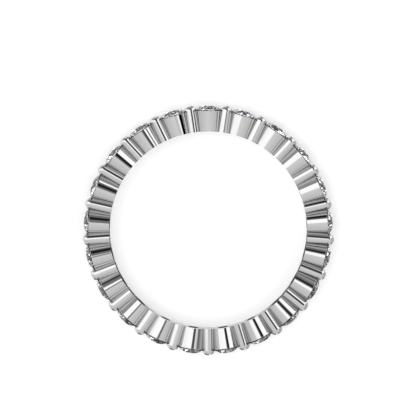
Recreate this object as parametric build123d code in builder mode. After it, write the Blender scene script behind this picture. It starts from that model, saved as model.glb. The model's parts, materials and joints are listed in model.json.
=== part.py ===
from build123d import *

import os
from math import atan2, cos, degrees, pi, radians, sin, tan

# Eternity ring: one metal setting with twenty-one round brilliants all the way round.
# The ring lies on its side. Its axis is +Z, its middle plane is at CUP_RIM_RADIUS above z = 0,
# and the first stone looks along +Y. All sizes are in millimetres.

# Finger hole, and how the stones are laid out
BORE_DIAMETER = 17.3
STONE_COUNT = 21
PITCH = 360 / STONE_COUNT
FIRST_STONE_ANGLE = 90
GIRDLE_TOP_RADIUS = 10.56

# Round brilliant
STONE_DIAMETER = 2.2
TABLE_SHARE = 0.55
CROWN_ANGLE = 33.0
STAR_SHARE = 0.50
PAVILION_ANGLE = 40.8
LOWER_GIRDLE_SHARE = 0.77
GIRDLE_THICKNESS = 0.07
MAIN_FACETS = 8

# Cup under each stone: a cone that widens towards its rim, open through to the bore
CUP_RIM_RADIUS = 1.14
CUP_BORE_RADIUS = 0.96
CUP_RIM_HEIGHT = 10.45
CUP_HOLE_RADIUS = 0.45
SEAT_CLEARANCE = 0.015

# Round posts between the cups, two side by side in each gap, with domed tips
POST_RADIUS = 0.55
POST_OFFSET = 0.22
POST_TIP_HEIGHT = 11.03
DOME_HEIGHT = 0.46

# Sizes worked out from those above
BORE_RADIUS = BORE_DIAMETER / 2
MIDDLE_HEIGHT = CUP_RIM_RADIUS
METAL_START = 8.3
BORE_CUT_LENGTH = 4 * CUP_RIM_RADIUS
STONE_RADIUS = STONE_DIAMETER / 2
HALF_STEP = 180 / MAIN_FACETS
QUARTER_STEP = HALF_STEP / 2

# Heights in a stone's own frame, up its axis from the top of its girdle
TABLE_CORNER = STONE_RADIUS * TABLE_SHARE
TABLE_APOTHEM = TABLE_CORNER * cos(radians(HALF_STEP))
TABLE_HEIGHT = (STONE_RADIUS - TABLE_CORNER) * tan(radians(CROWN_ANGLE))
STAR_TIP = TABLE_APOTHEM + STAR_SHARE * (STONE_RADIUS - TABLE_APOTHEM)
STAR_TIP_HEIGHT = (STONE_RADIUS - STAR_TIP * cos(radians(HALF_STEP))) * tan(radians(CROWN_ANGLE))
STAR_ANGLE = degrees(atan2(TABLE_HEIGHT - STAR_TIP_HEIGHT, STAR_TIP - TABLE_APOTHEM))
UPPER_GIRDLE_ANGLE = degrees(
    atan2(STAR_TIP_HEIGHT, (STONE_RADIUS - STAR_TIP) * cos(radians(QUARTER_STEP)))
)
GIRDLE_BOTTOM = -GIRDLE_THICKNESS
LOWER_TIP = STONE_RADIUS * (1 - LOWER_GIRDLE_SHARE)
LOWER_TIP_DEPTH = (STONE_RADIUS - LOWER_TIP * cos(radians(HALF_STEP))) * tan(radians(PAVILION_ANGLE))
LOWER_GIRDLE_ANGLE = degrees(
    atan2(LOWER_TIP_DEPTH, (STONE_RADIUS - LOWER_TIP) * cos(radians(QUARTER_STEP)))
)
CULET_HEIGHT = GIRDLE_BOTTOM - STONE_RADIUS * tan(radians(PAVILION_ANGLE))


def facet_plane(azimuth, slope, reach, height):
    """The plane of a facet whose face leans by slope from the stone's axis towards azimuth.

    It passes through the point at that azimuth, at distance reach from the axis, at the given height.
    """
    turn = radians(azimuth)
    lean = radians(slope)
    return Plane(
        origin=(reach * cos(turn), reach * sin(turn), height),
        z_dir=(sin(lean) * cos(turn), sin(lean) * sin(turn), cos(lean)),
    )


def facet_row(first_azimuth, count, slope, reach, height):
    """The planes of one row of facets, evenly spaced round the stone."""
    return [facet_plane(first_azimuth + 360 / count * k, slope, reach, height) for k in range(count)]


def place_on_ring(angle, radius, offset=0.0):
    """A frame on the ring: its Z points out along the radius and its X goes round the ring."""
    turn = radians(angle)
    return Plane(
        origin=(radius * cos(turn), radius * sin(turn), MIDDLE_HEIGHT + offset),
        x_dir=(-sin(turn), cos(turn), 0),
        z_dir=(cos(turn), sin(turn), 0),
    ).location


def gap_plane(angle):
    """The plane through the ring's axis at an angle, facing the way that angles grow."""
    turn = radians(angle)
    return Plane(origin=(0, 0, 0), z_dir=(-sin(turn), cos(turn), 0))


STONE_ANGLES = [FIRST_STONE_ANGLE - PITCH * k for k in range(STONE_COUNT)]

# The brilliant's facets, in rows from the table down to the culet. Table edges face along the ring.
CROWN_FACETS = (
    [facet_plane(0, 0, 0, TABLE_HEIGHT)]
    + facet_row(0, MAIN_FACETS, STAR_ANGLE, TABLE_APOTHEM, TABLE_HEIGHT)
    + facet_row(HALF_STEP, MAIN_FACETS, CROWN_ANGLE, STONE_RADIUS, 0)
    + facet_row(QUARTER_STEP, 2 * MAIN_FACETS, UPPER_GIRDLE_ANGLE, STONE_RADIUS * cos(radians(QUARTER_STEP)), 0)
)
PAVILION_FACETS = facet_row(
    QUARTER_STEP,
    2 * MAIN_FACETS,
    180 - LOWER_GIRDLE_ANGLE,
    STONE_RADIUS * cos(radians(QUARTER_STEP)),
    GIRDLE_BOTTOM,
) + facet_row(HALF_STEP, MAIN_FACETS, 180 - PAVILION_ANGLE, STONE_RADIUS, GIRDLE_BOTTOM)

# One brilliant in its own frame: a round blank, ground to one facet plane after another
with BuildPart() as brilliant:
    with BuildSketch(Plane.XY.offset(CULET_HEIGHT)):
        Circle(STONE_RADIUS)
    extrude(amount=TABLE_HEIGHT - CULET_HEIGHT)
    for facet in CROWN_FACETS + PAVILION_FACETS:
        split(bisect_by=facet, keep=Keep.BOTTOM)

# One cup in the ring's radial frame, solid for now
CUP_TAPER = (CUP_RIM_RADIUS - CUP_BORE_RADIUS) / (CUP_RIM_HEIGHT - BORE_RADIUS)
CUP_START_RADIUS = CUP_BORE_RADIUS - CUP_TAPER * (BORE_RADIUS - METAL_START)
with BuildPart() as cup:
    with BuildSketch(Plane.XZ):
        with BuildLine():
            Polyline(
                (0, METAL_START),
                (CUP_START_RADIUS, METAL_START),
                (CUP_RIM_RADIUS, CUP_RIM_HEIGHT),
                (0, CUP_RIM_HEIGHT),
                close=True,
            )
        make_face()
    revolve(axis=Axis.Z)

# One post in the same radial frame: a round bar with a domed tip
with BuildPart() as post:
    with BuildSketch(Plane.XZ):
        with BuildLine():
            shoulder = POST_TIP_HEIGHT - DOME_HEIGHT
            Polyline((0, POST_TIP_HEIGHT), (0, METAL_START), (POST_RADIUS, METAL_START), (POST_RADIUS, shoulder))
            EllipticalCenterArc((0, shoulder), POST_RADIUS, DOME_HEIGHT, start_angle=0, arc_size=90)
        make_face()
    revolve(axis=Axis.Z)

# What is cut away for one stone: its own room with a little clearance, and the hole under its point
room = STONE_RADIUS + SEAT_CLEARANCE
room_top = room * tan(radians(UPPER_GIRDLE_ANGLE))
room_bottom = room * tan(radians(PAVILION_ANGLE))
with BuildPart() as stone_room:
    with BuildSketch(Plane.XZ):
        with BuildLine():
            Polyline(
                (0, GIRDLE_BOTTOM - SEAT_CLEARANCE - room_bottom),
                (room, GIRDLE_BOTTOM - SEAT_CLEARANCE),
                (room, SEAT_CLEARANCE),
                (0, SEAT_CLEARANCE + room_top),
                close=True,
            )
        make_face()
    revolve(axis=Axis.Z)
    with BuildSketch(Plane.XY.offset(METAL_START - GIRDLE_TOP_RADIUS)):
        Circle(CUP_HOLE_RADIUS)
    extrude(amount=GIRDLE_TOP_RADIUS - METAL_START)

# One segment of the setting: a cup with half of the pair of posts on each side of it, bored and
# cut for its stone, between the two planes that run through the middles of its gaps
with BuildPart() as segment:
    with Locations(place_on_ring(FIRST_STONE_ANGLE, 0)):
        add(cup.part)
    for gap_angle in (FIRST_STONE_ANGLE - PITCH / 2, FIRST_STONE_ANGLE + PITCH / 2):
        with Locations([place_on_ring(gap_angle, 0, offset) for offset in (-POST_OFFSET, POST_OFFSET)]):
            add(post.part)
    with Locations((0, 0, MIDDLE_HEIGHT)):
        Cylinder(BORE_RADIUS, BORE_CUT_LENGTH, mode=Mode.SUBTRACT)
    with Locations(place_on_ring(FIRST_STONE_ANGLE, GIRDLE_TOP_RADIUS)):
        add(stone_room.part, mode=Mode.SUBTRACT)
    split(bisect_by=gap_plane(FIRST_STONE_ANGLE + PITCH / 2), keep=Keep.BOTTOM)
    split(bisect_by=gap_plane(FIRST_STONE_ANGLE - PITCH / 2), keep=Keep.TOP)

# The setting: the segments soldered into one ring. The bore's wall then closes on itself,
# and fix gives that one face the seam that it needs.
with BuildPart() as setting:
    with PolarLocations(0, STONE_COUNT):
        add(segment.part)
setting_metal = setting.part.fix()

os.makedirs("parts", exist_ok=True)
setting_metal.label = "setting"
export_step(setting_metal, "parts/setting.step")

# The stones, each a node of its own, clockwise from the top
for number, angle in enumerate(STONE_ANGLES, start=1):
    with BuildPart() as stone:
        with Locations(place_on_ring(angle, GIRDLE_TOP_RADIUS)):
            add(brilliant.part)
    stone.part.label = f"stone_{number:02d}"
    export_step(stone.part, f"parts/stone_{number:02d}.step")

print("gap between neighbouring girdles", round(2 * pi * GIRDLE_TOP_RADIUS / STONE_COUNT - STONE_DIAMETER, 3))
print("volume of a stone", round(brilliant.part.volume, 4), "and of the setting", round(setting_metal.volume, 2))
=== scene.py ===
"""An eternity ring of white gold and diamonds, lying on its side on a pale studio floor.

The setting's visible surfaces are worked out here from the ring's own measures. The stones are the
frame's solids with a better finish. Lengths in functions are millimetres, and meshes are in metres.
"""

import json
import math
from collections import namedtuple

import bmesh
import bpy
import numpy as np
from bpy.props import FloatProperty, IntProperty, PointerProperty, StringProperty
from mathutils import Matrix, Vector


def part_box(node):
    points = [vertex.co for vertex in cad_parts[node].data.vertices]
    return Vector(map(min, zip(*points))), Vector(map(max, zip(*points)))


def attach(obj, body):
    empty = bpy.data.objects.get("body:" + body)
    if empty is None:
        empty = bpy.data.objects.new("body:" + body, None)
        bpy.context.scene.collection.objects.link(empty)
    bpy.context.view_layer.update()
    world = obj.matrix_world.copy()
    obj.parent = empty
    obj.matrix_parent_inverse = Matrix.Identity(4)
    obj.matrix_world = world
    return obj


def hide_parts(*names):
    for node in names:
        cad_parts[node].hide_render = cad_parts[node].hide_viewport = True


bl_info = {
    "name": "Eternity ring",
    "version": (1, 0, 0),
    "blender": (4, 5, 0),
    "location": "3D View > Sidebar > Ring",
    "description": "Makes the setting, the stones' finish and the studio of an eternity ring",
    "category": "Object",
}

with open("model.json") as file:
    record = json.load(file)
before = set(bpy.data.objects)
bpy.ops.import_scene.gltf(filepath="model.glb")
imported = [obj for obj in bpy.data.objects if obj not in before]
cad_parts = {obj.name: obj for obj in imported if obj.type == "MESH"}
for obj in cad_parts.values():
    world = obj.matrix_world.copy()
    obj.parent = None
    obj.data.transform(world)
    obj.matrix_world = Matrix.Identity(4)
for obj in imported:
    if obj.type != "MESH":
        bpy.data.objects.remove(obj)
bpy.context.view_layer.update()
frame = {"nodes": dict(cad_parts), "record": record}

MM = 0.001
STONE_NODES = sorted(name for name in frame["nodes"] if name.startswith("stone_"))
SETTING_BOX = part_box("setting")
BORE_MOUNT = next(m for m in frame["record"]["mounts"] if m["name"] == "finger_hole")


class RingSizes(bpy.types.PropertyGroup):
    """Sizes of the ring, in metres as Blender keeps them."""

    stones: IntProperty(name="Stones", description="Stones round the ring", default=len(STONE_NODES), min=3)
    bore_radius: FloatProperty(
        name="Bore radius",
        description="Radius of the finger hole",
        default=BORE_MOUNT["dims"]["r_mm"] * MM,
        unit="LENGTH",
        precision=5,
    )
    cup_rim_radius: FloatProperty(
        name="Cup rim radius",
        description="Outside radius of a cup at its rim, half of the ring's width",
        default=(SETTING_BOX[1].z - SETTING_BOX[0].z) / 2,
        unit="LENGTH",
        precision=5,
    )
    cup_bore_radius: FloatProperty(
        name="Cup bore radius",
        description="Outside radius of a cup where it meets the bore",
        default=BORE_MOUNT["dims"]["length_mm"] * MM / 2,
        unit="LENGTH",
        precision=5,
    )
    cup_rim_height: FloatProperty(
        name="Cup rim height",
        description="Distance from the ring's axis to the cups' rims",
        default=10.45 * MM,
        unit="LENGTH",
        precision=5,
    )
    cup_rim_round: FloatProperty(
        name="Cup rim rounding",
        description="Radius of the polished edge of a cup's rim",
        default=0.03 * MM,
        unit="LENGTH",
        precision=5,
    )
    cup_hole_radius: FloatProperty(
        name="Cup hole radius",
        description="Radius of the hole under each stone's point",
        default=0.45 * MM,
        unit="LENGTH",
        precision=5,
    )
    post_radius: FloatProperty(
        name="Post radius", description="Radius of a post", default=0.55 * MM, unit="LENGTH", precision=5
    )
    post_offset: FloatProperty(
        name="Post offset",
        description="Distance of a post's axis from the ring's middle plane",
        default=0.22 * MM,
        unit="LENGTH",
        precision=5,
    )
    post_tip_height: FloatProperty(
        name="Post tip height",
        description="Distance from the ring's axis to the posts' tips",
        default=-SETTING_BOX[0].y,
        unit="LENGTH",
        precision=5,
    )
    dome_height: FloatProperty(
        name="Dome height",
        description="Height of a post's domed tip",
        default=0.46 * MM,
        unit="LENGTH",
        precision=5,
    )
    stone_radius: FloatProperty(
        name="Stone radius",
        description="Radius of a stone's girdle",
        default=1.1 * MM,
        unit="LENGTH",
        precision=5,
    )
    girdle_top: FloatProperty(
        name="Girdle height",
        description="Distance from the ring's axis to the upper edge of the girdles",
        default=10.56 * MM,
        unit="LENGTH",
        precision=5,
    )
    girdle_thickness: FloatProperty(
        name="Girdle thickness",
        description="Thickness of a stone's girdle",
        default=0.07 * MM,
        unit="LENGTH",
        precision=5,
    )
    seat_clearance: FloatProperty(
        name="Seat clearance",
        description="Room left round each stone in the metal",
        default=0.015 * MM,
        unit="LENGTH",
        precision=6,
    )
    pavilion_angle: FloatProperty(
        name="Pavilion angle",
        description="Slope of a stone's lower cone",
        default=math.radians(40.8),
        subtype="ANGLE",
    )
    crown_angle: FloatProperty(
        name="Crown edge angle",
        description="Slope of a stone's crown next to its girdle",
        default=math.radians(39.24),
        subtype="ANGLE",
    )


class RingColours(bpy.types.PropertyGroup):
    """Colours and finishes of the ring and the floor, as sRGB hex."""

    metal: StringProperty(name="White gold", description="Colour of the polished metal", default="C7C7C7")
    metal_haze: StringProperty(
        name="Haze", description="Colour of the metal's faint polishing haze", default="C1C1C1"
    )
    diamond: StringProperty(name="Diamond", description="Body colour of the stones", default="FFFFFF")
    # The cool and warm tints below are painted fire: colours in the stones' body that stand in for dispersed
    # light
    painted_fire_cool: StringProperty(
        name="Cool fire", description="Cool tint of the stones' fire", default="E3EEFF"
    )
    painted_fire_warm: StringProperty(
        name="Warm fire", description="Warm tint of the stones' fire", default="FFF6E2"
    )
    diamond_glint: StringProperty(
        name="Glint", description="Tint of what the stones' outer faces mirror", default="9A9A9A"
    )
    floor: StringProperty(name="Floor", description="Colour of the studio floor", default="F6F6F6")


class StudioSettings(bpy.types.PropertyGroup):
    """Where the camera stands, and how bright the studio is."""

    camera_distance: FloatProperty(
        name="Camera distance",
        description="Distance from the camera to the ring's centre",
        default=0.188,
        unit="LENGTH",
    )
    camera_tilt: FloatProperty(
        name="Camera tilt",
        description="Angle between the camera's line of sight and the ring's axis",
        default=math.radians(4.2),
        subtype="ANGLE",
    )
    pixel_size: FloatProperty(
        name="Pixel size",
        description="Size on the ring of one pixel of the 416 pixel wide picture",
        default=0.0876 * MM,
        unit="LENGTH",
        precision=6,
    )
    centre_x: FloatProperty(
        name="Centre across", description="Pixel column of the ring's centre", default=208.2
    )
    centre_y: FloatProperty(
        name="Centre down", description="Pixel row of the ring's centre", default=230.05
    )
    floor_glow: FloatProperty(
        name="Floor glow",
        description="Light that comes up through the floor's white acrylic",
        default=0.35,
        min=0,
    )
    light_strength: FloatProperty(
        name="Light strength", description="Strength of the light round the ring", default=1.76, min=0
    )
    lamp_strength: FloatProperty(
        name="Lamp strength",
        description="Strength of the small lamps that light the stones",
        default=2.1,
        min=0,
    )


# The picture's width in pixels, and the camera's sensor in millimetres
FRAME_PIXELS = 416
SENSOR_WIDTH = 36.0

# Faces round each surface of the setting, the share of the pitch that the bore's slice covers on each
# side, and how many rim radii it reaches up and down, so that it cuts clean through the cups and posts
CUP_COLUMNS = 96
POST_COLUMNS = 48
BORE_COLUMNS = 36
BORE_SPREAD = 0.75
BORE_REACH = 4

# Lengths in millimetres: two points nearer than the first are one, points nearer a gap's plane than the
# second lie on it, and the two ends of a segment may differ by the third
SLIVER = 1e-5
SEAM_DEPTH = 1e-4
SEAM_MISMATCH = 1e-3

# The least that a vector's length is taken to be, so that nothing is divided by zero
TINY = 1e-9

# Sizes of the patches in the finishes and in the stones' painted fire, and the height of the metal's
# polishing waves
HAZE_PATCH = 0.5 * MM
HAZE_WAVE = 0.004 * MM
PAINTED_FIRE_PATCH = 0.35 * MM
FLOOR_GRAIN = 3 * MM

# Levels of the noise at which the stones' painted fire, a tint of the body colour that stands in for
# dispersed light, is cool, colourless and warm
PAINTED_FIRE_STOPS = (0.36, 0.5, 0.64)

# The floor's round sheet: its radius in metres and its sides
FLOOR_RADIUS = 4.0
FLOOR_SIDES = 128


def linear(hex_colour):
    """Linear RGBA of an sRGB hex colour.

    Each channel c becomes ((c + 0.055) / 1.055) to the power 2.4, or c / 12.92 where it is nearly black.
    """
    channels = [int(hex_colour[k : k + 2], 16) / 255 for k in (0, 2, 4)]
    return [c / 12.92 if c <= 0.04045 else ((c + 0.055) / 1.055) ** 2.4 for c in channels] + [1.0]


def add_node(tree, kind, links=None, **settings):
    """Adds a node, sets its properties and its inputs, and links inputs to other nodes' outputs.

    Settings are the node's own properties. The dictionary inputs holds the values of its unlinked inputs.
    """
    node = tree.nodes.new(kind)
    inputs = settings.pop("inputs", {})
    for name, value in settings.items():
        setattr(node, name, value)
    for name, value in inputs.items():
        node.inputs[name].default_value = value
    for name, output in (links or {}).items():
        tree.links.new(output, node.inputs[name])
    return node


def straight(start, end, rows):
    """A straight stretch of a profile: points at even steps from start to end, with one normal.

    A profile is walked with the solid on its left, so its outward normal is (rise, -reach) of the walk.
    """
    points = np.linspace(start, end, rows + 1)
    walk = points[-1] - points[0]
    normal = np.array([walk[1], -walk[0]]) / np.hypot(*walk)
    return points, lambda reach, height: (np.full_like(reach, normal[0]), np.full_like(height, normal[1]))


def elliptic(centre, radii, first, last, rows):
    """A part of an ellipse in a profile: centre + (a cos t, b sin t), t from first to last degrees.

    Its normal at a point is along ((reach - centre) / a squared, (height - centre) / b squared).
    """
    turn = np.radians(np.linspace(first, last, rows + 1))
    points = np.stack([centre[0] + radii[0] * np.cos(turn), centre[1] + radii[1] * np.sin(turn)], axis=1)

    def normal(reach, height):
        across = (reach - centre[0]) / radii[0] ** 2
        up = (height - centre[1]) / radii[1] ** 2
        size = np.maximum(np.hypot(across, up), TINY)
        return across / size, up / size

    return points, normal


def radial_frame(angle, offset):
    """Origin and axes of a frame on the ring: round the ring, along its axis, and out along its radius."""
    turn = math.radians(angle)
    out = np.array([math.cos(turn), math.sin(turn), 0.0])
    axial = np.array([0.0, 0.0, 1.0])
    return axial * offset, np.stack([np.cross(axial, out), axial, out])


def turned(stretches, angle, offset, columns):
    """A solid of revolution about a radius of the ring, from a profile that starts and ends on it.

    Point (reach, height) of the profile at turn t is origin + reach * (cos t * round + sin t * axial)
    + height * out. The profile's two ends are single points, so the poles are closed. Gives the points,
    the faces, the number of each face's stretch, and for each stretch a function from points to normals.
    """
    origin, axes = radial_frame(angle, offset)
    rows = np.concatenate([stretches[0][0]] + [points[1:] for points, _ in stretches[1:]])
    band = np.repeat(np.arange(len(stretches)), [len(points) - 1 for points, _ in stretches])
    turn = np.arange(columns) * 2 * np.pi / columns
    circle = np.cos(turn)[:, None] * axes[0] + np.sin(turn)[:, None] * axes[1]
    body = rows[1:-1]
    around = body[:, None, :1] * circle[None] + body[:, None, 1:] * axes[2]
    points = np.concatenate([around.reshape(-1, 3), rows[[0, -1], 1:] * axes[2]]) + origin

    index = np.arange(len(body) * columns).reshape(len(body), columns)
    low, high = index[:-1], index[1:]
    quads = np.stack([low, np.roll(low, -1, 1), np.roll(high, -1, 1), high], -1).reshape(-1, 4)
    start, end = len(points) - 2, len(points) - 1
    start_cap = np.stack([np.full(columns, start), np.roll(index[0], -1), index[0]], -1)
    end_cap = np.stack([np.full(columns, end), index[-1], np.roll(index[-1], -1)], -1)
    faces = quads.tolist() + start_cap.tolist() + end_cap.tolist()
    numbers = np.concatenate([np.repeat(band[1:-1], columns), np.repeat(band[[0, -1]], columns)])

    def formula(normal):
        def at(where):
            spot = where - origin
            flat = np.stack([spot @ axes[0], spot @ axes[1]], -1)
            reach = np.hypot(flat[:, 0], flat[:, 1])
            across, up = normal(reach, spot @ axes[2])
            sideways = flat / np.maximum(reach, TINY)[:, None] @ axes[:2]
            return across[:, None] * sideways + up[:, None] * axes[2]

        return at

    return points, faces, numbers, [formula(normal) for _, normal in stretches]


def bore_wedge(radius, middle, spread, columns, half_height):
    """A slice of the bore's cylinder, from the ring's axis out to its wall, about the angle middle.

    Wall points are radius * (cos a, sin a), with a at even steps from middle - spread to middle + spread.
    A point's normal there is the point's own direction from the ring's axis.
    """
    turn = np.radians(np.linspace(middle - spread, middle + spread, columns + 1))
    outline = np.concatenate([np.stack([radius * np.cos(turn), radius * np.sin(turn)], -1), [[0.0, 0.0]]])
    count = len(outline)
    points = np.concatenate([np.insert(outline, 2, z, axis=1) for z in (-half_height, half_height)])
    low = np.arange(count)
    walls = np.stack([low, np.roll(low, -1), np.roll(low, -1) + count, low + count], -1)
    faces = walls.tolist() + [low[::-1].tolist(), (low + count).tolist()]

    def outwards(where):
        flat = where * [1.0, 1.0, 0.0]
        return flat / np.linalg.norm(flat, axis=1, keepdims=True)

    return points, faces, np.zeros(len(faces), int), [outwards]


def cup_profile(size):
    """Profile of a cup, solid: a cone from inside the bore up to a rim whose edge is rounded by polishing.

    At distance d from the ring's axis the cone's radius is cup_bore_radius + taper * (d - bore_radius).
    """
    taper = (size.cup_rim_radius - size.cup_bore_radius) / (size.cup_rim_height - size.bore_radius)
    lean = math.atan(taper)
    start = size.bore_radius - size.cup_bore_radius / 2
    foot = size.cup_bore_radius - taper * (size.bore_radius - start)
    edge = size.cup_rim_round
    middle = (
        size.cup_rim_radius - taper * edge - edge / math.cos(lean),
        size.cup_rim_height - edge,
    )
    cone_end = (middle[0] + edge * math.cos(lean), middle[1] - edge * math.sin(lean))
    return [
        straight((0, start), (foot, start), 1),
        straight((foot, start), cone_end, 6),
        elliptic(middle, (edge, edge), -math.degrees(lean), 90, 4),
        straight((middle[0], size.cup_rim_height), (0, size.cup_rim_height), 1),
    ]


def post_profile(size):
    """Profile of a post: a round bar from inside the bore, with half an ellipse for its tip."""
    start = size.bore_radius - size.cup_bore_radius / 2
    shoulder = size.post_tip_height - size.dome_height
    return [
        straight((0, start), (size.post_radius, start), 1),
        straight((size.post_radius, start), (size.post_radius, shoulder), 4),
        elliptic((0, shoulder), (size.post_radius, size.dome_height), 0, 90, 14),
    ]


def room_profile(size):
    """Profile of what is cut away for a stone: the hole under it, its pavilion, girdle and crown."""
    reach = size.stone_radius + size.seat_clearance
    waist = size.girdle_top - size.girdle_thickness - size.seat_clearance
    hole_top = waist - (reach - size.cup_hole_radius) * math.tan(size.pavilion_angle)
    foot = size.bore_radius - 2 * size.cup_bore_radius
    brow = size.girdle_top + size.seat_clearance
    return [
        straight((0, foot), (size.cup_hole_radius, foot), 1),
        straight((size.cup_hole_radius, foot), (size.cup_hole_radius, hole_top), 2),
        straight((size.cup_hole_radius, hole_top), (reach, waist), 4),
        straight((reach, waist), (reach, brow), 1),
        straight((reach, brow), (0, brow + reach * math.tan(size.crown_angle)), 2),
    ]


class InMillimetres:
    """The ring's sizes with its lengths read in millimetres. Angles and counts stay as they are."""

    def __init__(self, sizes):
        for name in sizes.bl_rna.properties.keys():
            value = getattr(sizes, name)
            is_length = sizes.bl_rna.properties[name].unit == "LENGTH"
            setattr(self, name, value / MM if is_length else value)


def solid_object(name, points, faces, numbers):
    """An object of a closed solid, with each face's surface number kept in an attribute."""
    mesh = bpy.data.meshes.new(name)
    mesh.from_pydata(points, [], faces)
    mesh.attributes.new("surface", "INT", "FACE").data.foreach_set("value", numbers.astype(np.int32))
    made = bpy.data.objects.new(name, mesh)
    bpy.context.scene.collection.objects.link(made)
    return made


def segment(size):
    """One segment of the setting, between the middles of two gaps, in millimetres about the ring's axis.

    A cup and the two posts on each side of it are joined, then bored and cut for the stone, and the
    result is cut off at both gaps. Gives its points, its triangles and a normal for each corner, which
    comes from the formula of the surface that the triangle was cut from.
    """
    pitch = 360 / size.stones
    middle = 90.0
    parts = [(turned(cup_profile(size), middle, 0, CUP_COLUMNS), "UNION")]
    for side in (-0.5, 0.5):
        for offset in (-size.post_offset, size.post_offset):
            post = turned(post_profile(size), middle + side * pitch, offset, POST_COLUMNS)
            parts.append((post, "UNION"))
    half_height = BORE_REACH * size.cup_rim_radius
    bore = bore_wedge(size.bore_radius, middle, BORE_SPREAD * pitch, BORE_COLUMNS, half_height)
    parts.append((bore, "DIFFERENCE"))
    parts.append((turned(room_profile(size), middle, 0, CUP_COLUMNS), "DIFFERENCE"))

    objects, normals = [], []
    for (points, faces, numbers, formulas), operation in parts:
        objects.append(solid_object("segment", points, faces, numbers + len(normals)))
        sign = 1 if operation == "UNION" else -1
        normals += [(formula, sign) for formula in formulas]
    for tool, (_, operation) in zip(objects[1:], parts[1:]):
        step = objects[0].modifiers.new(operation.title(), "BOOLEAN")
        step.object = tool
        step.operation = operation
        step.solver = "EXACT"
    graph = bpy.context.evaluated_depsgraph_get()
    joined = bmesh.new()
    joined.from_object(objects[0], graph)
    for used in objects:
        bpy.data.objects.remove(used)

    for side in (-0.5, 0.5):
        turn = math.radians(middle + side * pitch)
        outwards = Vector((-math.sin(turn), math.cos(turn), 0)) * math.copysign(1, side)
        whole = joined.verts[:] + joined.edges[:] + joined.faces[:]
        bmesh.ops.bisect_plane(
            joined, geom=whole, dist=SLIVER, plane_co=(0, 0, 0), plane_no=outwards, clear_outer=True
        )
    bmesh.ops.dissolve_degenerate(joined, dist=SLIVER, edges=joined.edges[:])
    bmesh.ops.triangulate(joined, faces=joined.faces[:])
    mesh = bpy.data.meshes.new("segment")
    joined.to_mesh(mesh)
    joined.free()
    points = np.empty((len(mesh.vertices), 3))
    mesh.vertices.foreach_get("co", points.ravel())
    triangles = np.empty((len(mesh.polygons), 3), np.int32)
    mesh.loops.foreach_get("vertex_index", triangles.ravel())
    numbers = np.empty(len(mesh.polygons), np.int32)
    mesh.attributes["surface"].data.foreach_get("value", numbers)
    bpy.data.meshes.remove(mesh)

    corners = np.zeros((len(triangles), 3, 3))
    for number, (formula, sign) in enumerate(normals):
        chosen = numbers == number
        where = points[triangles[chosen]].reshape(-1, 3)
        corners[chosen] = sign * formula(where).reshape(-1, 3, 3)
    return points, triangles, corners


def turn_about_axis(vectors, degrees):
    """Vectors turned about Z: (x cos a - y sin a, x sin a + y cos a, z)."""
    a = math.radians(degrees)
    matrix = np.array([[math.cos(a), -math.sin(a), 0], [math.sin(a), math.cos(a), 0], [0, 0, 1]])
    return vectors @ matrix.T


def whole_ring(points, triangles, corners, count):
    """The segment repeated count times round Z, with each seam's points shared by its two segments."""
    pitch = 360 / count
    half = math.radians(pitch / 2)
    around = np.arctan2(points[:, 1], points[:, 0]) - math.pi / 2
    reach = np.hypot(points[:, 0], points[:, 1])
    first = np.flatnonzero(np.abs(around + half) * reach < SEAM_DEPTH)
    last = np.flatnonzero(np.abs(around - half) * reach < SEAM_DEPTH)
    moved = turn_about_axis(points[first], pitch)
    distance = np.linalg.norm(moved[:, None] - points[last][None], axis=2)
    partner = last[distance.argmin(1)]
    if len(first) != len(last) or distance.min(1).max() > SEAM_MISMATCH:
        raise RuntimeError(f"the segment's two ends don't match: {len(first)} and {len(last)} points")

    kept = np.setdiff1d(np.arange(len(points)), first)
    place = np.empty(len(points), int)
    place[kept] = np.arange(len(kept))
    all_points = np.concatenate([turn_about_axis(points[kept], k * pitch) for k in range(count)])
    all_triangles = []
    for k in range(count):
        index = place + k * len(kept)
        index[first] = place[partner] + (k - 1) % count * len(kept)
        all_triangles.append(index[triangles])
    all_corners = np.concatenate([turn_about_axis(corners.reshape(-1, 3), k * pitch) for k in range(count)])
    return all_points, np.concatenate(all_triangles), all_corners


def white_gold(colours):
    """Rhodium plated 18 carat white gold, polished to a mirror.

    The eye sees a cool, almost neutral mirror. A trace of haze and waviness from hand polishing, in
    patches about half a millimetre across, keeps its reflections from being perfect.
    """
    material = bpy.data.materials.new("rhodium_plated_white_gold_polished")
    material.use_nodes = True
    tree = material.node_tree
    tree.nodes.clear()
    place = add_node(tree, "ShaderNodeTexCoord").outputs["Object"]
    patches = add_node(
        tree,
        "ShaderNodeTexNoise",
        {"Vector": place},
        inputs={"Scale": 1 / HAZE_PATCH, "Detail": 2.0, "Roughness": 0.45},
    ).outputs["Fac"]
    colour = add_node(
        tree,
        "ShaderNodeMix",
        {"Factor": patches},
        data_type="RGBA",
        inputs={"A": linear(colours.metal), "B": linear(colours.metal_haze)},
    ).outputs["Result"]
    gloss = add_node(
        tree,
        "ShaderNodeMapRange",
        {"Value": patches},
        inputs={"From Min": 0.3, "From Max": 0.7, "To Min": 0.015, "To Max": 0.045},
    ).outputs["Result"]
    waves = add_node(
        tree,
        "ShaderNodeBump",
        {"Height": patches},
        inputs={"Strength": 0.12, "Distance": HAZE_WAVE},
    ).outputs["Normal"]
    surface = add_node(
        tree,
        "ShaderNodeBsdfPrincipled",
        {"Base Color": colour, "Roughness": gloss, "Normal": waves},
        inputs={"Metallic": 1.0},
    )
    add_node(tree, "ShaderNodeOutputMaterial", {"Surface": surface.outputs["BSDF"]})
    return material


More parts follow.
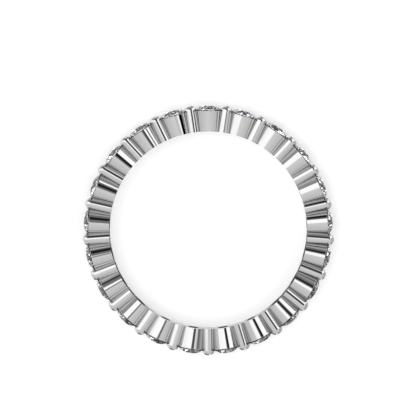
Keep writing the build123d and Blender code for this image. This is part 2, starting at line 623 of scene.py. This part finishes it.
def diamond(colours):
    """Diamond, colourless, cut and polished as a brilliant.

    The eye sees hard, bright and dark facets, because the stone bends light strongly. Cool and warm fire,
    the colour of dispersed light, is painted into the stones' body colour in patches about a third of a
    millimetre across. The darker tint of what the outer faces mirror keeps a pale studio from greying the
    dark facets.
    """
    material = bpy.data.materials.new("diamond_brilliant_cut")
    material.use_nodes = True
    tree = material.node_tree
    tree.nodes.clear()
    place = add_node(tree, "ShaderNodeTexCoord").outputs["Object"]
    # Painted fire: noise patches tint the stones' body colour cool or warm, in place of the coloured flashes
    # of dispersed light
    fire = add_node(
        tree,
        "ShaderNodeTexNoise",
        {"Vector": place},
        inputs={"Scale": 1 / PAINTED_FIRE_PATCH, "Detail": 1.0},
    ).outputs["Fac"]
    ramp = add_node(tree, "ShaderNodeValToRGB", {"Fac": fire})
    elements = ramp.color_ramp.elements
    elements.new(0.5)
    painted_fire_tints = (colours.painted_fire_cool, colours.diamond, colours.painted_fire_warm)
    for element, stop, tint in zip(elements, PAINTED_FIRE_STOPS, painted_fire_tints):
        element.position = stop
        element.color = linear(tint)
    surface = add_node(
        tree,
        "ShaderNodeBsdfPrincipled",
        {"Base Color": ramp.outputs["Color"]},
        inputs={
            "Transmission Weight": 1.0,
            "IOR": 2.417,
            "Roughness": 0.0,
            "Specular Tint": linear(colours.diamond_glint),
        },
    )
    add_node(tree, "ShaderNodeOutputMaterial", {"Surface": surface.outputs["BSDF"]})
    return material


def floor_acrylic(colours, glow):
    """Opal acrylic, cast with a matt face and lit from below, so that shadows on it stay faint."""
    material = bpy.data.materials.new("opal_acrylic_matt")
    material.use_nodes = True
    tree = material.node_tree
    tree.nodes.clear()
    place = add_node(tree, "ShaderNodeTexCoord").outputs["Object"]
    grain = add_node(
        tree, "ShaderNodeTexNoise", {"Vector": place}, inputs={"Scale": 1 / FLOOR_GRAIN, "Detail": 3.0}
    ).outputs["Fac"]
    matt = add_node(
        tree,
        "ShaderNodeMapRange",
        {"Value": grain},
        inputs={"To Min": 0.75, "To Max": 0.95},
    ).outputs["Result"]
    surface = add_node(
        tree,
        "ShaderNodeBsdfPrincipled",
        {"Roughness": matt},
        inputs={
            "Base Color": linear(colours.floor),
            "Emission Color": linear(colours.floor),
            "Emission Strength": glow,
        },
    )
    add_node(tree, "ShaderNodeOutputMaterial", {"Surface": surface.outputs["BSDF"]})
    return material


class RING_OT_setting(bpy.types.Operator):
    """Makes the setting: the cups, and the posts with their domed tips, in polished white gold"""

    bl_idname = "ring.setting"
    bl_label = "Setting"

    def execute(self, context):
        sizes = InMillimetres(context.scene.ring_sizes)
        points, triangles, corners = whole_ring(*segment(sizes), sizes.stones)
        points = (points + [0, 0, sizes.cup_rim_radius]) * MM
        mesh = bpy.data.meshes.new("setting_polished")
        mesh.from_pydata(points, [], triangles.tolist())
        mesh.shade_smooth()
        mesh.normals_split_custom_set(corners)
        mesh.materials.append(white_gold(context.scene.ring_colours))
        made = bpy.data.objects.new("setting_polished", mesh)
        context.scene.collection.objects.link(made)
        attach(made, "root")
        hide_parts("setting")
        return {"FINISHED"}


class RING_OT_stones(bpy.types.Operator):
    """Gives every stone its diamond finish"""

    bl_idname = "ring.stones"
    bl_label = "Stones"

    def execute(self, context):
        finish = diamond(context.scene.ring_colours)
        for name in STONE_NODES:
            stone = frame["nodes"][name]
            for place in stone.material_slots:
                place.material = finish
        return {"FINISHED"}


class RING_OT_studio(bpy.types.Operator):
    """Makes the studio: the pale floor, the soft light round the ring and the camera"""

    bl_idname = "ring.studio"
    bl_label = "Studio"

    def execute(self, context):
        scene = context.scene
        studio = scene.ring_studio
        make_floor(scene, studio)
        make_light(scene, studio)
        make_camera(scene, studio)
        scene.view_settings.view_transform = "Standard"
        return {"FINISHED"}


def make_floor(scene, studio):
    """A round pale floor. The metal doesn't mirror it and the stones don't show it through themselves."""
    turn = np.linspace(0, 2 * np.pi, FLOOR_SIDES, endpoint=False)
    rim = FLOOR_RADIUS * np.stack([np.cos(turn), np.sin(turn), np.zeros_like(turn)], -1)
    mesh = bpy.data.meshes.new("floor")
    mesh.from_pydata(rim, [], [list(range(len(rim)))])
    mesh.materials.append(floor_acrylic(scene.ring_colours, studio.floor_glow))
    floor = bpy.data.objects.new("floor", mesh)
    floor.visible_glossy = False
    floor.visible_transmission = False
    scene.collection.objects.link(floor)


def make_camera(scene, studio):
    """A camera at the photograph's angle to the ring, with the ring at the same place in the picture."""
    lowest, highest = SETTING_BOX
    middle = Vector((0, 0, (lowest.z + highest.z) / 2))
    tilt = studio.camera_tilt
    back = Vector((0, math.sin(tilt), math.cos(tilt)))
    data = bpy.data.cameras.new("camera")
    half_view = FRAME_PIXELS / 2 * studio.pixel_size
    data.sensor_width = SENSOR_WIDTH
    data.lens = SENSOR_WIDTH / 2 * studio.camera_distance / half_view
    data.shift_x = (FRAME_PIXELS / 2 - studio.centre_x) / FRAME_PIXELS
    data.shift_y = (studio.centre_y - FRAME_PIXELS / 2) / FRAME_PIXELS
    data.clip_start = MM
    camera = bpy.data.objects.new("camera", data)
    right = Vector((1, 0, 0))
    turned_to = Matrix((right, back.cross(right), back)).transposed()
    camera.matrix_world = Matrix.Translation(middle + back * studio.camera_distance) @ turned_to.to_4x4()
    scene.collection.objects.link(camera)
    scene.camera = camera


# The light round the ring. A direction is given as (across, up): degrees from straight above the ring
# towards the photograph's right and top. Greys are sRGB, as the polished metal shows them once.
# Above the ring's middle, and below it, the light is one grey ramp each, from overhead down to behind.
# Each stop is (degrees from overhead, grey).
UPPER_GREYS = (
    (0, "FFFFFF"),
    (60, "F0F0F0"),
    (86, "DCDCDC"),
    (105, "D4D4D4"),
    (135, "DEDEDE"),
    (155, "F0F0F0"),
)
LOWER_GREYS = (
    (0, "CFCFCF"),
    (30, "C8C8C8"),
    (60, "C0C0C0"),
    (86, "BABABA"),
    (105, "9C9C9C"),
    (135, "808080"),
    (160, "888888"),
)

# How far below the ring's middle the lower ramp has wholly taken over, as a part of a direction of length 1
CHANGEOVER = 0.045

# A ray counts as ahead of a card when its part ahead is more than this
NEARLY_SIDEWAYS = 0.01

# What the camera sees round the floor, in place of the ramps and cards
PLAIN_GREY = "F4F4F4"

# The stones have a light of their own, which is seen only through them: a cluster of small lamps and grey
# card between black card. LAMP_SCALE sets how many patches there are, and a stop's place from 0 to 1 says
# which patches take its grey.
LAMP_SCALE = 2.2
LAMP_STOPS = ((0.0, "080A10"), (0.5, "646E7E"), (0.7, "FFFFFF"))

# Soft boxes, and black and grey cards, each in front of those before it. A card is turned by roll degrees in
# its own plane, its sizes are half sizes in degrees, and its edge fades over softness degrees.
Card = namedtuple("Card", "name across up roll half_width half_height softness grey")
UPPER_CARDS = (
    Card("dark card, top", 3, 33, 0, 35, 33, 6, "6C6C6C"),
    Card("grey flat, top", -8, 82, 0, 42, 13, 8, "8C8C8C"),
    Card("grey flat, upper left", -46, 54, 35, 24, 22, 8, "8C8C8C"),
    Card("soft box, right", 61, 31, 0, 29, 25, 3, "FFFFFF"),
    Card("black card, right", 22, 9, -4, 8, 11, 4, "1A1A1A"),
    Card("black card, upper right", 14, 27, 32, 8, 14, 4, "1A1A1A"),
    Card("black card, upper left", -9, 47, 44, 7, 21, 4, "1A1A1A"),
    Card("strip box, left", -58, 10, 0, 36, 21, 5, "F8F8F8"),
    Card("large soft box, upper left", -20, 11.5, 44, 17, 24, 3, "FFFFFF"),
    Card("grey strip, right", 53, 20, 30, 7, 2, 2, "7A7A7A"),
    Card("black card, far right", 77, 8, 12, 24, 5, 1.5, "000000"),
)
LOWER_CARDS = (
    Card("soft box's lower part", -32, -3.5, 0, 25, 4.5, 4, "FAFAFA"),
    Card("black card's lower part", 15, -2.5, 0, 8, 4, 4, "6A6A6A"),
    Card("grey card, low right", 68, -6, -6, 13, 4, 3, "6C6C6C"),
    Card("white card, behind on the left", -118, -55, 25, 44, 26, 14, "DCDCDC"),
    Card("grey card, behind on the right", 114, -4, 0, 24, 22, 18, "B0B0B0"),
    Card("grey card, behind at the top", 36, 108, -18, 12, 20, 12, "8C8C8C"),
    Card("dark card, behind at the bottom", -38, -112, -18, 12, 22, 12, "5C5C5C"),
    Card("white card, behind at the bottom", 34, -108, 18, 7, 22, 8, "F4F4F4"),
    Card("dark card, straight behind, right", 168, 38, 12, 7, 8, 3, "4A4A4A"),
    Card("dark card, straight behind, left", -166, 44, -14, 7, 7, 3, "5A5A5A"),
    Card("grey card, straight behind", 0, 171, 0, 9, 6, 4, "B0B0B0"),
)


def grey_ramp(tree, height, greys):
    """A grey by angle from overhead.

    The angle's cosine is the height z of a ray of length 1, and its place on the ramp is (z + 1) / 2.
    """
    level = add_node(
        tree, "ShaderNodeMapRange", {"Value": height}, inputs={"From Min": -1.0, "From Max": 1.0}
    )
    ramp = add_node(tree, "ShaderNodeValToRGB", {"Fac": level.outputs["Result"]})
    stops = sorted(((1 + math.cos(math.radians(down))) / 2, grey) for down, grey in greys)
    elements = ramp.color_ramp.elements
    while len(elements) < len(stops):
        elements.new(0.5)
    for element, (position, _) in zip(elements, stops):
        element.position = position
    for element, (_, grey) in zip(elements, stops):
        element.color = linear(grey)
    return ramp.outputs["Color"]


def card_mask(tree, ray, card):
    """1 on the card and 0 off it.

    The ray's slopes across and up from the card's middle are its parts along the card's axes over its
    part ahead. They are compared with the tangents of the card's half sizes.
    """
    down = math.radians(math.hypot(card.across, card.up))
    turn = math.atan2(card.up, card.across)
    overhead = Vector((0, 0, 1))
    ahead = Vector((math.sin(down) * math.cos(turn), math.sin(down) * math.sin(turn), math.cos(down)))
    tip = overhead.rotation_difference(ahead)
    roll = math.radians(card.roll)
    across = tip @ Vector((math.cos(roll), math.sin(roll), 0))
    up = tip @ Vector((-math.sin(roll), math.cos(roll), 0))
    reach = add_node(tree, "ShaderNodeVectorMath", {0: ray}, operation="DOT_PRODUCT", inputs={1: ahead})
    mask = add_node(
        tree,
        "ShaderNodeMath",
        {0: reach.outputs["Value"]},
        operation="GREATER_THAN",
        inputs={1: NEARLY_SIDEWAYS},
    )
    for axis, half in ((across, card.half_width), (up, card.half_height)):
        along = add_node(tree, "ShaderNodeVectorMath", {0: ray}, operation="DOT_PRODUCT", inputs={1: axis})
        slope = add_node(
            tree, "ShaderNodeMath", {0: along.outputs["Value"], 1: reach.outputs["Value"]}, operation="DIVIDE"
        )
        size = add_node(tree, "ShaderNodeMath", {0: slope.outputs["Value"]}, operation="ABSOLUTE")
        edge = add_node(
            tree,
            "ShaderNodeMapRange",
            {"Value": size.outputs["Value"]},
            interpolation_type="SMOOTHSTEP",
            inputs={
                "From Min": math.tan(math.radians(half - card.softness / 2)),
                "From Max": math.tan(math.radians(half + card.softness / 2)),
                "To Min": 1.0,
                "To Max": 0.0,
            },
        )
        mask = add_node(
            tree,
            "ShaderNodeMath",
            {0: mask.outputs["Value"], 1: edge.outputs["Result"]},
            operation="MULTIPLY",
        )
    return mask.outputs["Value"]


def with_cards(tree, ray, light, cards):
    """The light with cards in front of it, the last one foremost."""
    for card in cards:
        light = add_node(
            tree,
            "ShaderNodeMix",
            {0: card_mask(tree, ray, card), 6: light},
            data_type="RGBA",
            inputs={7: linear(card.grey)},
        ).outputs[2]
    return light


def lamp_cluster(tree, ray):
    """Small lamps and cards in cells about the ray, each cell taking one of the lamps' greys at random."""
    cells = add_node(tree, "ShaderNodeTexVoronoi", {"Vector": ray}, inputs={"Scale": LAMP_SCALE})
    level = add_node(tree, "ShaderNodeSeparateColor", {"Color": cells.outputs["Color"]}).outputs["Red"]
    shades = add_node(tree, "ShaderNodeValToRGB", {"Fac": level})
    shades.color_ramp.interpolation = "CONSTANT"
    elements = shades.color_ramp.elements
    elements.new(0.5)
    for element, (place, grey) in zip(elements, LAMP_STOPS):
        element.position = place
        element.color = linear(grey)
    return shades.outputs["Color"]


def make_light(scene, studio):
    """The world's light, and the plain backdrop that the camera sees in its place.

    The upper ramp with its cards comes first, then the lower ramp in front of it and the lower cards.
    The stones' own lamps take its place where a ray has gone through a stone.
    """
    world = bpy.data.worlds.new("studio")
    world.use_nodes = True
    tree = world.node_tree
    tree.nodes.clear()
    ray = add_node(tree, "ShaderNodeTexCoord").outputs["Generated"]
    parts = add_node(tree, "ShaderNodeSeparateXYZ", {"Vector": ray}).outputs
    light = with_cards(tree, ray, grey_ramp(tree, parts["Z"], UPPER_GREYS), UPPER_CARDS)
    below = add_node(
        tree,
        "ShaderNodeMapRange",
        {"Value": parts["Y"]},
        interpolation_type="SMOOTHSTEP",
        inputs={"From Min": -CHANGEOVER, "From Max": 0.0, "To Min": 1.0, "To Max": 0.0},
    ).outputs["Result"]
    lower = grey_ramp(tree, parts["Z"], LOWER_GREYS)
    both = add_node(tree, "ShaderNodeMix", {0: below, 6: light, 7: lower}, data_type="RGBA").outputs[2]
    light = with_cards(tree, ray, both, LOWER_CARDS)
    studio_light = add_node(
        tree, "ShaderNodeBackground", {"Color": light}, inputs={"Strength": studio.light_strength}
    )
    backdrop = add_node(tree, "ShaderNodeBackground", inputs={"Color": linear(PLAIN_GREY)})
    sparkle = add_node(
        tree,
        "ShaderNodeBackground",
        {"Color": lamp_cluster(tree, ray)},
        inputs={"Strength": studio.lamp_strength},
    )
    path = add_node(tree, "ShaderNodeLightPath").outputs
    seen = add_node(
        tree,
        "ShaderNodeMixShader",
        {
            0: path["Is Transmission Ray"],
            1: studio_light.outputs["Background"],
            2: sparkle.outputs["Background"],
        },
    )
    seen = add_node(
        tree,
        "ShaderNodeMixShader",
        {0: path["Is Camera Ray"], 1: seen.outputs["Shader"], 2: backdrop.outputs["Background"]},
    )
    add_node(tree, "ShaderNodeOutputWorld", {"Surface": seen.outputs["Shader"]})
    scene.world = world


class RING_PT_panel(bpy.types.Panel):
    """Lists the ring's sizes, its colours and the operators that make it"""

    bl_idname = "RING_PT_panel"
    bl_label = "Eternity ring"
    bl_space_type = "VIEW_3D"
    bl_region_type = "UI"
    bl_category = "Ring"

    def draw(self, context):
        for group in (context.scene.ring_sizes, context.scene.ring_colours, context.scene.ring_studio):
            box = self.layout.box()
            for name in group.__annotations__:
                box.prop(group, name)
        for operator in OPERATORS:
            self.layout.operator(operator.bl_idname)


OPERATORS = (RING_OT_setting, RING_OT_stones, RING_OT_studio)
CLASSES = (RingSizes, RingColours, StudioSettings) + OPERATORS + (RING_PT_panel,)


def register():
    """Registers the classes and gives the scene its three groups of settings."""
    for each in CLASSES:
        bpy.utils.register_class(each)
    bpy.types.Scene.ring_sizes = PointerProperty(type=RingSizes)
    bpy.types.Scene.ring_colours = PointerProperty(type=RingColours)
    bpy.types.Scene.ring_studio = PointerProperty(type=StudioSettings)


def unregister():
    """Takes back what register did."""
    del bpy.types.Scene.ring_studio
    del bpy.types.Scene.ring_colours
    del bpy.types.Scene.ring_sizes
    for each in reversed(CLASSES):
        bpy.utils.unregister_class(each)


def main():
    register()
    bpy.ops.ring.setting()
    bpy.ops.ring.stones()
    bpy.ops.ring.studio()


if __name__ == "__main__":
    main()
